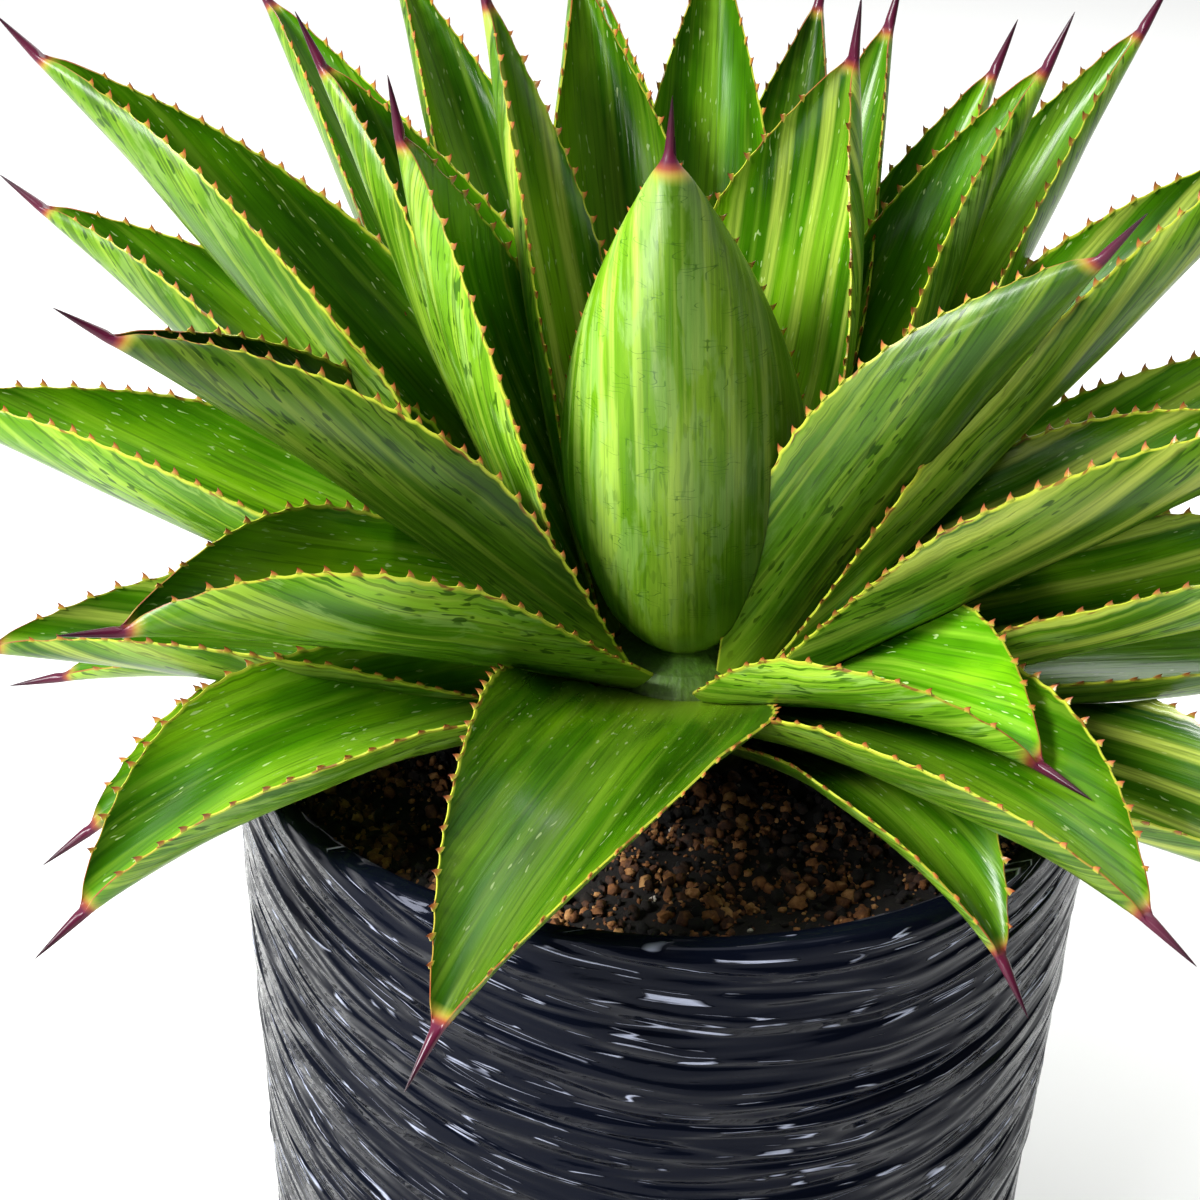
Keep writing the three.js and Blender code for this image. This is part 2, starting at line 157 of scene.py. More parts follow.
# size of each marking on the leaves, in millimetres across and along the leaf
marking = {
    "clouds": (17, 75), "mottle": (5, 22), "streaks": (3.4, 120), "lines": (1.0, 34), "fibres": (0.9, 30),
    "dashes": (1.4, 7), "rubs": (0.8, 4), "nicks": (5, 1.4), "nickPatches": (8, 5), "stripes": (11, 400),
}


def makeLeafSkin(name, look):
    # Agave epidermis: a waxy cuticle over green flesh. It gives a glossy deep green inside and a paler,
    # greyer one outside, where the bloom lies in lengthwise mottling, and a yellow horny margin.
    material, tree, skin = newMaterial(name)

    def uvMap(layer):
        return addNode(tree, "ShaderNodeUVMap", uv_map=layer).outputs[0]

    def grain(name, **settings):
        # noise whose lumps have the size of that marking
        across, along = marking[name]
        scaled = addNode(tree, "ShaderNodeMapping", {0: uvMap("size"), "Scale": (1 / across, 1 / along, 1)})
        values = {"Vector": scaled.outputs[0], "Scale": 1.0, "Detail": 3.0} | settings
        return addNode(tree, "ShaderNodeTexNoise", values).outputs[0]

    def spread(value, low, high, least=0.0, most=1.0):
        return addNode(tree, "ShaderNodeMapRange", {0: value, 1: low, 2: high, 3: least, 4: most}).outputs[0]

    def times(a, b):
        return addNode(tree, "ShaderNodeMath", {0: a, 1: b}, operation="MULTIPLY").outputs[0]

    def blend(share, under, over):
        return addNode(tree, "ShaderNodeMix", {0: share, 6: under, 7: over}, data_type="RGBA").outputs[2]

    bladePlace = addNode(tree, "ShaderNodeSeparateXYZ", {0: uvMap("blade")})
    sides = addNode(tree, "ShaderNodeSeparateXYZ", {0: uvMap("sides")})
    across = addNode(tree, "ShaderNodeMath", {0: bladePlace.outputs[0]}, operation="ABSOLUTE").outputs[0]
    upper, fromTip = sides.outputs[0], sides.outputs[1]
    tone = addNode(tree, "ShaderNodeAttribute", attribute_name="tone").outputs["Fac"]
    stripe = addNode(tree, "ShaderNodeAttribute", attribute_name="stripe").outputs["Fac"]

    clouds = grain("clouds", Detail=4.0)
    streaks = grain("streaks", Detail=2.0)
    lines = grain("lines", Detail=2.0)
    fibres = grain("fibres", Detail=2.0)
    mottle = grain("mottle", Detail=6.0, Roughness=0.62, Distortion=0.5)
    dashes = grain("dashes", Detail=1.0, Distortion=0.3)

    # the upper face: cloudy green, with pale streaks, a painted sheen as a paler band along the middle, and
    # dark lines
    inner = addNode(tree, "ShaderNodeValToRGB", {0: clouds}, stops=look["inner"]).outputs[0]
    inner = blend(times(spread(streaks, 0.5, 0.66), 0.35), inner, srgb(look["innerStreakAndSheen"]))
    # painted sheen: a paler band along the middle of the upper face
    inner = blend(spread(across, 0.0, 0.22, look["sheen"], 0.0), inner, srgb(look["innerStreakAndSheen"]))
    inner = blend(times(spread(lines, 0.56, 0.62), 0.4), inner, srgb(look["dash"]))
    # short pale rub marks where the wax is scratched
    rubs = spread(grain("rubs", Detail=0.0), 0.72, 0.75)
    inner = blend(times(rubs, spread(mottle, 0.5, 0.56, 0.0, 0.55)), inner, srgb(look["rub"]))

    # the lower face: streaked, with broken dark dashes, and bloom that is fainter on the leaves painted
    # darker for shade
    outer = addNode(tree, "ShaderNodeValToRGB", {0: clouds}, stops=look["outer"]).outputs[0]
    outer = blend(times(spread(streaks, 0.5, 0.6), look["streakMost"]), outer, srgb(look["outerStreak"]))
    bloomShare = times(spread(mottle, look["bloomFrom"], look["bloomFrom"] + 0.07), look["bloomMost"])
    bloomShare = times(bloomShare, spread(tone, 0.6, 0.95, 0.2, 1.0))
    outer = blend(bloomShare, outer, srgb(look["bloom"]))
    outer = blend(times(spread(lines, 0.55, 0.6), look["lineMost"]), outer, srgb(look["dash"]))
    broken = times(spread(dashes, 0.6, 0.64), spread(clouds, 0.48, 0.54))
    outer = blend(times(broken, look["dashMost"]), outer, srgb(look["dash"]))
    if look["nicks"]:
        # short, thin, wavy nicks across the skin, in patches
        waves = grain("nicks", Detail=0.0)
        level = addNode(tree, "ShaderNodeMath", {0: waves, 1: 0.5}, operation="SUBTRACT").outputs[0]
        off = addNode(tree, "ShaderNodeMath", {0: level}, operation="ABSOLUTE").outputs[0]
        patches = spread(grain("nickPatches", Detail=1.0), 0.55, 0.6)
        thin = times(spread(off, 0.008, 0.028, look["nicks"], 0.0), patches)
        outer = blend(thin, outer, srgb(look["dash"]))

    face = blend(upper, outer, inner)
    # pale stripes along some leaves; at this scale the wave's bands are one unit apart
    apart, along = marking["stripes"]
    rows = addNode(tree, "ShaderNodeMapping", {0: uvMap("size"), "Scale": (1 / apart, 1 / along, 1)})
    wave = {"Vector": rows.outputs[0], "Scale": 0.314, "Distortion": 1.2, "Detail": 1.0}
    band = addNode(tree, "ShaderNodeTexWave", wave, wave_type="BANDS", bands_direction="X").outputs[1]
    stripeShare = times(times(spread(band, 0.6, 0.9), stripe), spread(fibres, 0.35, 0.6, 0.5, 1.0))
    face = blend(stripeShare, face, srgb(look["stripe"]))
    # each leaf's brightness scales its colour; on some leaves it is painted light and shade
    shade = times(spread(fibres, 0.3, 0.55, 0.86, 1.03), tone)
    # painted light and shade: each bud leaf is painted paler on the side the light falls on and darker on the
    # side in shade
    shade = times(shade, spread(bladePlace.outputs[0], -0.5, 0.05, *look["sides"]))
    face = addNode(tree, "ShaderNodeVectorMath", {0: face, "Scale": shade}, operation="SCALE").outputs[0]
    face = blend(spread(bladePlace.outputs[1], 0.02, 0.17, 0.6, 0.0), face, srgb(look["foot"]))

    # the horny margin line, red-brown near the tip; past 1 the same coordinate climbs the teeth
    lineColour = blend(spread(dashes, 0.56, 0.62), srgb(look["margin"]), srgb(look["marginDry"]))
    lineColour = blend(spread(fromTip, -30 * mm, -6 * mm), lineColour, srgb(look["marginTip"]))
    face = blend(spread(across, 0.966, 0.986, 0.0, 0.9), face, lineColour)
    upTooth = spread(across, 1.05, 2.0)
    horn = addNode(tree, "ShaderNodeValToRGB", {0: upTooth}, stops=look["tooth"]).outputs[0]
    onTooth = addNode(tree, "ShaderNodeMath", {0: across, 1: 1.03}, operation="GREATER_THAN").outputs[0]
    face = blend(onTooth, face, horn)

    # the needle: straw, then rust, then dark wine
    upNeedle = spread(fromTip, -5 * mm, 13 * mm)
    needle = addNode(tree, "ShaderNodeValToRGB", {0: upNeedle}, stops=look["needle"]).outputs[0]
    tree.links.new(blend(spread(fromTip, -5 * mm, -2 * mm), face, needle), skin.inputs["Base Color"])

    # glossy above, duller below and dullest under the bloom
    dull, glossy = spread(bloomShare, 0.0, 0.6, 0.34, 0.5), spread(clouds, 0.35, 0.65, 0.2, 0.32)
    gloss = addNode(tree, "ShaderNodeMix", {0: upper, 2: dull, 3: glossy}, data_type="FLOAT")
    tree.links.new(gloss.outputs[0], skin.inputs["Roughness"])
    relief = addNode(tree, "ShaderNodeMath", {0: fibres, 1: streaks}, operation="ADD").outputs[0]
    ribbed = {"Height": relief, "Strength": look["relief"], "Distance": 0.5 * mm}
    tree.links.new(addNode(tree, "ShaderNodeBump", ribbed).outputs[0], skin.inputs["Normal"])
    skin.inputs["IOR"].default_value = 1.45
    skin.inputs["Specular IOR Level"].default_value = 0.22
    skin.inputs["Coat Weight"].default_value = look["wax"]
    skin.inputs["Coat Roughness"].default_value = 0.16
    return material


# "Most" is a marking's greatest strength, and "sides" the painted light and shade on a leaf's two sides: the
# brightness painted on its lit side and on its shaded side
leafLook = {
    "inner": [(0.34, "#224A02"), (0.5, "#3C7004"), (0.66, "#68980A")], "innerStreakAndSheen": "#82A82C",
    "outer": [(0.34, "#345E06"), (0.5, "#4E7A10"), (0.66, "#76A024")], "outerStreak": "#90AC38",
    "sheen": 0.3, "streakMost": 0.55, "lineMost": 0.55, "dash": "#1F4404", "dashMost": 0.8, "nicks": 0,
    "bloom": "#7C9C4C", "bloomFrom": 0.53, "bloomMost": 0.5, "rub": "#B4C888", "stripe": "#B4C450",
    "foot": "#78961E", "margin": "#B9C23A", "marginDry": "#8A5E28", "marginTip": "#8E4426",
    "tooth": [(0, "#94A02E"), (0.3, "#B07E3A"), (0.7, "#98502A"), (1, "#4A2014")],
    "needle": [(0, "#84962C"), (0.12, "#A08A34"), (0.2, "#86402A"), (0.28, "#561830"), (1, "#2A0A1A")],
    "relief": 0.3, "wax": 0.1, "sides": (1.0, 1.0),
}
budLook = leafLook | {
    "outer": [(0.34, "#4A7A0A"), (0.5, "#649414"), (0.66, "#8CB432")], "outerStreak": "#A6C650",
    "streakMost": 0.7, "lineMost": 0.2, "dash": "#34620E", "dashMost": 0.3, "nicks": 0.7,
    "bloom": "#8CB05C", "bloomFrom": 0.5, "bloomMost": 0.45,
    # on the bud, "sides" paints one side of each leaf paler as lit and the other darker as shaded
    "relief": 0.25, "wax": 0.05, "sides": (1.22, 0.44),
}


filmLook = {
    # each kind of crease, and the breaks in the thin ones: length and spacing in millimetres
    "wide": (75, 8), "narrow": (34, 3.0), "thin": (60, 3.2), "breaks": (13, 5),
    "narrowShare": 0.2, "thinShare": 0.1, "thinWidth": 0.03, "depth": 5.0 * mm,
    "rise": (0.12, -0.33, 1.0),  # a crease runs where this sum of x, y and z stays the same
    # colour: near-black film, with painted highlights in pale grey along the thin creases
    "colour": [(0.3, "#070A14"), (1, "#A2A8BC")], "tint": "#E2E8FF", "roughness": 0.09,
}


def makeStretchFilm():
    # Black polyethylene stretch film pulled tight in many turns: very smooth and glossy, so its long,
    # slanting creases catch the light as thin broken lines; the thinnest creases are also painted pale grey
    # as painted highlights.
    material, tree, film = newMaterial("black polyethylene film")
    place = addNode(tree, "ShaderNodeTexCoord").outputs["Object"]
    spot = addNode(tree, "ShaderNodeSeparateXYZ", {0: place})
    # the film was wound aslant, so each crease is lowest at the front, a little to the right
    slant = {0: place, 1: filmLook["rise"]}
    level = addNode(tree, "ShaderNodeVectorMath", slant, operation="DOT_PRODUCT").outputs["Value"]
    aslant = {0: spot.outputs[0], 1: spot.outputs[1], 2: level}
    wound = addNode(tree, "ShaderNodeCombineXYZ", aslant).outputs[0]

    def times(a, b):
        return addNode(tree, "ShaderNodeMath", {0: a, 1: b}, operation="MULTIPLY").outputs[0]

    def creaseNoise(name, **settings):
        length, spacing = filmLook[name]
        scale = (1000 / length, 1000 / length, 1000 / spacing)
        scaled = addNode(tree, "ShaderNodeMapping", {0: wound, "Scale": scale}).outputs[0]
        values = {"Vector": scaled, "Scale": 1.0, "Detail": 1.0} | settings
        return addNode(tree, "ShaderNodeTexNoise", values).outputs[0]

    def thinRidge(value, width, height):
        # a crest where the noise crosses its middle
        middle = addNode(tree, "ShaderNodeMath", {0: value, 1: 0.5}, operation="SUBTRACT").outputs[0]
        off = addNode(tree, "ShaderNodeMath", {0: middle}, operation="ABSOLUTE").outputs[0]
        return addNode(tree, "ShaderNodeMapRange", {0: off, 1: 0.0, 2: width, 3: height, 4: 0.0},
                       interpolation_type="SMOOTHSTEP").outputs[0]

    wide = creaseNoise("wide", Distortion=0.7)
    narrow = times(creaseNoise("narrow", Detail=0.0), filmLook["narrowShare"])
    folds = addNode(tree, "ShaderNodeMath", {0: wide, 1: narrow}, operation="ADD").outputs[0]
    thin = thinRidge(creaseNoise("thin", Distortion=0.5), filmLook["thinWidth"], 1.0)
    broken = addNode(tree, "ShaderNodeMapRange", {0: creaseNoise("breaks"), 1: 0.5, 2: 0.58}).outputs[0]
    thin = times(thin, broken)
    raised = {0: folds, 1: times(thin, filmLook["thinShare"])}
    height = addNode(tree, "ShaderNodeMath", raised, operation="ADD").outputs[0]
    bump = addNode(tree, "ShaderNodeBump", {"Height": height, "Strength": 1.0, "Distance": filmLook["depth"]})
    tree.links.new(bump.outputs[0], film.inputs["Normal"])
    # painted highlights: the sharpest creases are painted pale grey, for the glints of light along them
    colour = addNode(tree, "ShaderNodeValToRGB", {0: thin}, stops=filmLook["colour"]).outputs[0]
    tree.links.new(colour, film.inputs["Base Color"])
    film.inputs["Specular IOR Level"].default_value = 0.08
    film.inputs["Specular Tint"].default_value = srgb(filmLook["tint"])
    film.inputs["Roughness"].default_value = filmLook["roughness"]
    film.inputs["IOR"].default_value = 1.51
    return material


def makePotPlastic():
    # Injection-moulded polypropylene, black: a soft sheen with the faint grain of the mould.
    material, tree, plastic = newMaterial("black moulded polypropylene")
    place = addNode(tree, "ShaderNodeTexCoord").outputs["Object"]
    # grain of 0.7 mm
    grain = addNode(tree, "ShaderNodeTexNoise", {"Vector": place, "Scale": 1400.0, "Detail": 2.0}).outputs[0]
    bump = addNode(tree, "ShaderNodeBump", {"Height": grain, "Strength": 0.25, "Distance": 0.15 * mm})
    tree.links.new(bump.outputs[0], plastic.inputs["Normal"])
    plastic.inputs["Base Color"].default_value = srgb("#101216")
    plastic.inputs["Roughness"].default_value = 0.42
    plastic.inputs["IOR"].default_value = 1.49
    return material


def makeSoilMaterial(name, stops, rough):
    # Peat and bark potting mix: matt and crumbly, nearly black where damp and tan where dry.
    material, tree, soil = newMaterial(name)
    place = addNode(tree, "ShaderNodeTexCoord").outputs["Object"]
    # grit from 2.4 mm down
    grit = {"Vector": place, "Scale": 420.0, "Detail": 5.0, "Roughness": 0.7}
    specks = addNode(tree, "ShaderNodeTexNoise", grit).outputs[0]
    tone = addNode(tree, "ShaderNodeAttribute", attribute_name="tone").outputs["Fac"]
    off = addNode(tree, "ShaderNodeMath", {0: specks, 1: 0.5}, operation="SUBTRACT").outputs[0]
    mixed = addNode(tree, "ShaderNodeMath", {0: off, 1: tone}, operation="ADD").outputs[0]
    colour = addNode(tree, "ShaderNodeValToRGB", {0: mixed}, stops=stops)
    tree.links.new(colour.outputs[0], soil.inputs["Base Color"])
    bump = addNode(tree, "ShaderNodeBump", {"Height": specks, "Strength": 0.8, "Distance": 0.8 * mm})
    tree.links.new(bump.outputs[0], soil.inputs["Normal"])
    soil.inputs["Roughness"].default_value = rough
    return material


def makeStemSkin():
    # Crowded leaf bases: pale fibrous tissue that browns and dries towards the soil.
    material, tree, skin = newMaterial("fibrous leaf bases")
    place = addNode(tree, "ShaderNodeTexCoord").outputs["Object"]
    height = addNode(tree, "ShaderNodeSeparateXYZ", {0: place}).outputs[2]
    # fibres 1.4 mm across and 17 mm long
    fibred = addNode(tree, "ShaderNodeMapping", {0: place, "Scale": (700, 700, 60)}).outputs[0]
    fibre = addNode(tree, "ShaderNodeTexNoise", {"Vector": fibred, "Scale": 1.0, "Detail": 4.0}).outputs[0]
    level = addNode(tree, "ShaderNodeMapRange", {0: height, 1: 206 * mm, 2: 240 * mm}).outputs[0]
    stops = [(0, "#2E2212"), (0.4, "#56601E"), (1, "#446A10")]
    colour = addNode(tree, "ShaderNodeValToRGB", {0: level}, stops=stops).outputs[0]
    shade = addNode(tree, "ShaderNodeMapRange", {0: fibre, 1: 0.3, 2: 0.7, 3: 0.6, 4: 1.1}).outputs[0]
    shaded = addNode(tree, "ShaderNodeVectorMath", {0: colour, "Scale": shade}, operation="SCALE")
    tree.links.new(shaded.outputs[0], skin.inputs["Base Color"])
    bump = addNode(tree, "ShaderNodeBump", {"Height": fibre, "Strength": 0.5, "Distance": 0.6 * mm})
    tree.links.new(bump.outputs[0], skin.inputs["Normal"])
    skin.inputs["Roughness"].default_value = 0.6
    return material


soilColours = {
    "peat": [(0.3, "#060403"), (0.7, "#140C07"), (0.95, "#2C1B0F")],
    "bark": [(0.1, "#0C0704"), (0.45, "#4A2A13"), (0.75, "#86552A"), (1, "#B58652")],
    "perlite": [(0.1, "#6B6256"), (0.6, "#B5AC9E"), (1, "#D8D2C8")],
}
leafSkin = makeLeafSkin("waxy agave leaf", leafLook)
budSkin = makeLeafSkin("waxy agave bud", budLook)
stretchFilm = makeStretchFilm()
potPlastic = makePotPlastic()
dampPeat = makeSoilMaterial("damp peat", soilColours["peat"], 0.9)
barkCrumb = makeSoilMaterial("bark and coir crumbs", soilColours["bark"], 0.8)
perlite = makeSoilMaterial("perlite specks", soilColours["perlite"], 0.7)
stemSkin = makeStemSkin()
print("materials made")


stem = {"x": 3 * mm, "z": 222 * mm, "radius": 26 * mm, "rise": 22 * mm}
blade = {
    "along": 128, "across": 14,  # faces of the template
    "spineShare": 0.08,  # of the template's rows that make the needle
    "spine": 16 * mm, "needle": 1.5 * mm, "point": 0.08 * mm,  # its length, and radius at foot and point
    "footThickness": 4.4 * mm, "tipThickness": 1.9 * mm, "thinning": 0.84,
    "tipWidth": 0.05, "droop": 1.6,
    "waveLength": 32 * mm,
    "clearance": 0.25 * mm,  # kept where an older leaf is pressed against a younger one
    "scallop": 0.7 * mm, "pitch": (5 * mm, 7.4 * mm),
    "firstTooth": 0.07, "lastTooth": 0.955,
    "toothHeight": (1.6 * mm, 2.4 * mm), "toothLength": 1.4 * mm, "toothThickness": 0.5 * mm,
    "toothRoot": 0.5 * mm,  # how deep a tooth is sunk into the margin
    "marginLost": 1.2 * mm,  # no tooth where the cut leaf is further than this from its own margin
}


def makeBladeTemplate():
    # a flat slab of faces, its long way from foot to needle tip
    bpy.ops.mesh.primitive_grid_add(x_subdivisions=blade["along"], y_subdivisions=blade["across"], size=2)
    slab = bpy.context.object
    bpy.ops.object.mode_set(mode="EDIT")
    bpy.ops.mesh.select_all(action="SELECT")
    bpy.ops.mesh.extrude_region_move(TRANSFORM_OT_translate={"value": (0, 0, -1)})
    bpy.ops.mesh.select_all(action="SELECT")
    bpy.ops.mesh.normals_make_consistent(inside=False)
    bpy.ops.object.mode_set(mode="OBJECT")
    return takeMesh(slab)


def makeToothTemplate():
    # a six-sided cone, its tip pulled over towards the leaf's own tip
    bpy.ops.mesh.primitive_cone_add(vertices=6, radius1=1, radius2=0, depth=1, location=(0, 0, 0.5))
    tooth = bpy.context.object
    bpy.ops.object.transform_apply(location=True)
    bpy.ops.object.mode_set(mode="EDIT")
    bpy.ops.mesh.select_all(action="SELECT")
    bpy.ops.mesh.subdivide(number_cuts=1)
    bpy.ops.mesh.normals_make_consistent(inside=False)
    bpy.ops.object.mode_set(mode="OBJECT")
    points, faces = takeMesh(tooth)
    points[:, 0] += 0.9 * points[:, 2] ** 2
    return points, faces


bladePoints, bladeFaces = makeBladeTemplate()
toothPoints, toothFaces = makeToothTemplate()
print("templates made", len(bladeFaces), len(toothFaces))


def leafSurface(leaf):
    # the same curved, folded sheet as the solid: place, normal, direction and outward edge at s and v
    steps = 40

    def frameAt(s):
        turn = np.radians(leaf["azimuth"] + leaf["sway"] * s)
        rise = np.radians(leaf["rise"] + (leaf["tip"] - leaf["rise"]) * s ** blade["droop"])
        roll = math.radians(leaf["roll"])
        along = np.stack([np.cos(rise) * np.cos(turn), np.cos(rise) * np.sin(turn), np.sin(rise)], -1)
        side = np.stack([-np.sin(turn), np.cos(turn), np.zeros_like(turn)], -1)
        normal = np.cross(along, side)
        rolledSide = side * math.cos(roll) + normal * math.sin(roll)
        return along, rolledSide, normal * math.cos(roll) - side * math.sin(roll)

    seat, turn = math.radians(leaf["seat"]), math.radians(leaf["azimuth"])
    reach = stem["radius"] * math.cos(seat)
    level = stem["z"] + stem["rise"] * math.sin(seat)
    start = np.array([stem["x"] + reach * math.cos(turn), reach * math.sin(turn), level])
    directions = frameAt((np.arange(steps) + 0.5) / steps)[0]
    centre = start + np.vstack([np.zeros(3), np.cumsum(directions, 0) * leaf["length"] / steps])

    def at(s, v):
        along, side, normal = frameAt(s)
        stations = np.arange(steps + 1) / steps
        middle = np.stack([np.interp(s, stations, centre[:, i]) for i in range(3)], -1)
        half = leaf["width"] / 2 * swell(s, leaf["foot"], leaf["peak"], blade["tipWidth"], 1.7)
        opening = 0.45 + 0.55 * np.clip(s / 0.45, 0, 1)
        closing = 1 + 0.55 * np.clip(2 * s - 1, 0, 1) ** 1.5
        bend = math.radians(leaf["fold"]) * opening * closing
        angle = (v * bend)[:, None]
        radius = (half / bend)[:, None]
        return {
            "point": middle + side * radius * np.sin(angle) + normal * radius * (1 - np.cos(angle)),
            "normal": normal * np.cos(angle) - side * np.sin(angle),
            "along": along,
            "edge": (side * np.cos(angle) + normal * np.sin(angle)) * np.sign(v)[:, None],
            "half": half,
        }

    return at


def placeTeeth(length, draw):
    # distances along the margin, unevenly spaced
    places = [blade["firstTooth"] * length]
    while places[-1] < blade["lastTooth"] * length:
        places.append(places[-1] + draw.uniform(*blade["pitch"]))
    return np.array(places[:-1])


def laySlab(name, surface, leaf, grow=0.0):
    # a copy of the template laid on the sheet, its margins cut in scallops; grown all round, it is
    # the shape that an older leaf is pressed into
    length = leaf["length"]
    t = (bladePoints[:, 0] + 1) / 2
    v = np.sin(np.pi / 2 * bladePoints[:, 1])
    lower = bladePoints[:, 2] < -0.5
    bladeEnd = 1 - blade["spineShare"]
    s = np.minimum(t / bladeEnd, 1)
    q = np.clip((t - bladeEnd) / blade["spineShare"], 0, 1)

    at = surface(s, v)
    thickness = leaf["thickness"](s) * (1 - blade["thinning"] * v ** 2)
    spots = zip(s * length / blade["waveLength"], v * 1.3)
    wave = np.array([noise.noise(Vector((x, y, leaf["seed"] * 7.3))) for x, y in spots])
    lift = leaf["wave"] * wave * np.clip(s * 4, 0, 1) * np.clip((1 - s) * 6, 0, 1)
    depth = np.where(lower, -thickness - grow, grow)
    point = at["point"] + at["normal"] * (lift + depth)[:, None]

    for side in (-1, 1):
        places = leaf["teeth"][side]
        k = np.clip(np.searchsorted(places, s * length) - 1, 0, len(places) - 2)
        share = np.clip((s * length - places[k]) / (places[k + 1] - places[k]), 0, 1)
        near = np.clip((side * v - 0.75) / 0.25, 0, 1) ** 2 * np.clip((0.97 - s) / 0.04, 0, 1)
        scallop = blade["scallop"] * np.sin(np.pi * share) ** 0.8
        retreat = scallop * near * np.clip(at["half"] / (8 * mm), 0, 1)
        point -= at["edge"] * (retreat - grow * near)[:, None]

    # the needle: round, straight on from the end of the sheet
    end = surface(np.ones(1), np.zeros(1))
    endSide = np.cross(end["normal"], end["along"])
    radius = blade["needle"] * (1 - q) ** 0.85 + blade["point"] + grow
    angle = v * np.pi / 2
    outward = np.where(lower, -1, 1) * np.cos(angle)
    back = (s - 1) * length + q * blade["spine"]
    needle = end["point"] + end["normal"] * (leaf["needleShift"] + radius * outward)[:, None] \
        + endSide * (radius * np.sin(angle))[:, None] + end["along"] * back[:, None]
    # from sheet to needle, over the sheet's last stretch and the needle's first
    share = np.clip((s - 0.97) / 0.03 * 0.5, 0, 0.5) + np.clip(q / 0.15 * 0.5, 0, 0.5)
    share = (share * share * (3 - 2 * share))[:, None]
    point = (point + end["along"] * (q * blade["spine"])[:, None]) * (1 - share) + needle * share

    piece = meshPiece(name, point, bladeFaces)
    mesh = piece.data
    storeUv(mesh, "blade", np.stack([v, s + q], -1))
    storeUv(mesh, "size", np.stack([v * at["half"], s * length], -1) / mm + leaf["seed"] * 37)
    storeUv(mesh, "sides", np.stack([np.where(lower, 0.0, 1.0), (s - 1) * length + q * blade["spine"]], -1))
    return piece


def treeOf(piece):
    mesh = piece.data
    return BVHTree.FromPolygons([v.co for v in mesh.vertices], [p.vertices for p in mesh.polygons])


def addTeeth(piece, surface, leaf, draw):
    # a copy of the tooth at each place whose margin is still there
    left = treeOf(piece)
    points, faces, uv, size, sides = [], [], [], [], []
    for side in (-1, 1):
        places = leaf["teeth"][side]
        spots = surface(places / leaf["length"], np.full(len(places), float(side)))
        for i, place in enumerate(places):
            share = place / leaf["length"]
            height = draw.uniform(*blade["toothHeight"])
            if left.find_nearest(Vector(spots["point"][i]))[3] > blade["marginLost"]:
                continue
            grow = min(1, 0.5 + share * 2, 0.45 + (1 - share) * 6) * min(1, spots["half"][i] / (7 * mm) + 0.3)
            outward = spots["edge"][i] - spots["normal"][i] * leaf["flare"]
            lengthwise = toothPoints[:, :1] * blade["toothLength"] * grow
            up = toothPoints[:, 2:] * height * grow - blade["toothRoot"]
            sideways = toothPoints[:, 1:2] * blade["toothThickness"] * grow - leaf["marginDepth"]
            offset = spots["along"][i] * lengthwise + outward * up + spots["normal"][i] * sideways
            faces += [[index + len(points) * len(toothPoints) for index in face] for face in toothFaces]
            points.append(spots["point"][i] + offset)
            uv.append(np.stack([side * (1.04 + toothPoints[:, 2]), np.full(len(toothPoints), share)], -1))
            size.append(np.full((len(toothPoints), 2), place / mm))
            fromTip = np.full(len(toothPoints), place - leaf["length"])
            sides.append(np.stack([np.ones(len(toothPoints)), fromTip], -1))
    if not points:
        return
    teeth = meshPiece("teeth", np.vstack(points), faces)
    storeUv(teeth.data, "blade", np.vstack(uv))
    storeUv(teeth.data, "size", np.vstack(size))
    storeUv(teeth.data, "sides", np.vstack(sides))
    pickOnly(piece)
    teeth.select_set(True)
    bpy.ops.object.join()


def pressInto(piece, cutter):
    # the cutter's shape is taken out of the piece
    cut = piece.modifiers.new("press", "BOOLEAN")
    cut.operation, cut.solver, cut.object = "DIFFERENCE", "MANIFOLD", cutter
    pickOnly(piece)
    bpy.ops.object.modifier_apply(modifier=cut.name)


def keepLargest(piece):
    # of the parts that a cut leaves, only the largest stays
    name = piece.name
    before = set(bpy.data.objects)
    pickOnly(piece)
    bpy.ops.object.mode_set(mode="EDIT")
    bpy.ops.mesh.select_all(action="SELECT")
    bpy.ops.mesh.separate(type="LOOSE")
    bpy.ops.object.mode_set(mode="OBJECT")
    parts = [piece] + [part for part in bpy.data.objects if part not in before]
    largest = max(parts, key=lambda part: len(part.data.polygons))
    for part in parts:
        if part != largest:
            bpy.data.objects.remove(part, do_unlink=True)
    largest.name = name
    return largest


younger = []  # grown copies of the leaves already made, and their search trees


def makeBlade(name, surface, leaf, material, slot, node):
    draw = random.Random(leaf["seed"])
    leaf["teeth"] = {side: placeTeeth(leaf["length"], draw) for side in (-1, 1)}
    piece = laySlab(name, surface, leaf)
    tree = treeOf(piece)
    cutters = [cutter for cutter, cutterTree in younger if tree.overlap(cutterTree)]
    for cutter in cutters:
        pressInto(piece, cutter)
    if cutters:
        piece = keepLargest(piece)
    grown = laySlab("grown", surface, leaf, blade["clearance"])
    younger.append((grown, treeOf(grown)))
    addTeeth(piece, surface, leaf, draw)
    count = len(piece.data.vertices)
    storePoints(piece.data, "tone", np.full(count, leaf["tone"]))
    storePoints(piece.data, "stripe", np.full(count, leaf["stripe"]))
    finishPiece(piece, material, slot, node)


# the bud comes first, because the leaves round it are pressed against it
bud = {
    "z": 242 * mm, "radius": 34 * mm, "height": 134 * mm, "lean": 9 * mm,
    "foot": 0.5, "tip": 0.11, "peak": 0.42, "spacing": 3.4 * mm, "thickness": 2 * mm, "shorter": 10 * mm,
    "keel": 1.0 * mm, "keelWidth": 13, "tucked": 0.1, "least": 0.6 * mm,
    "leaves": [("bud_leaf_outer", 265, 94), ("bud_leaf_middle", 50, 96), ("bud_leaf_inner", 170, 98)],
}


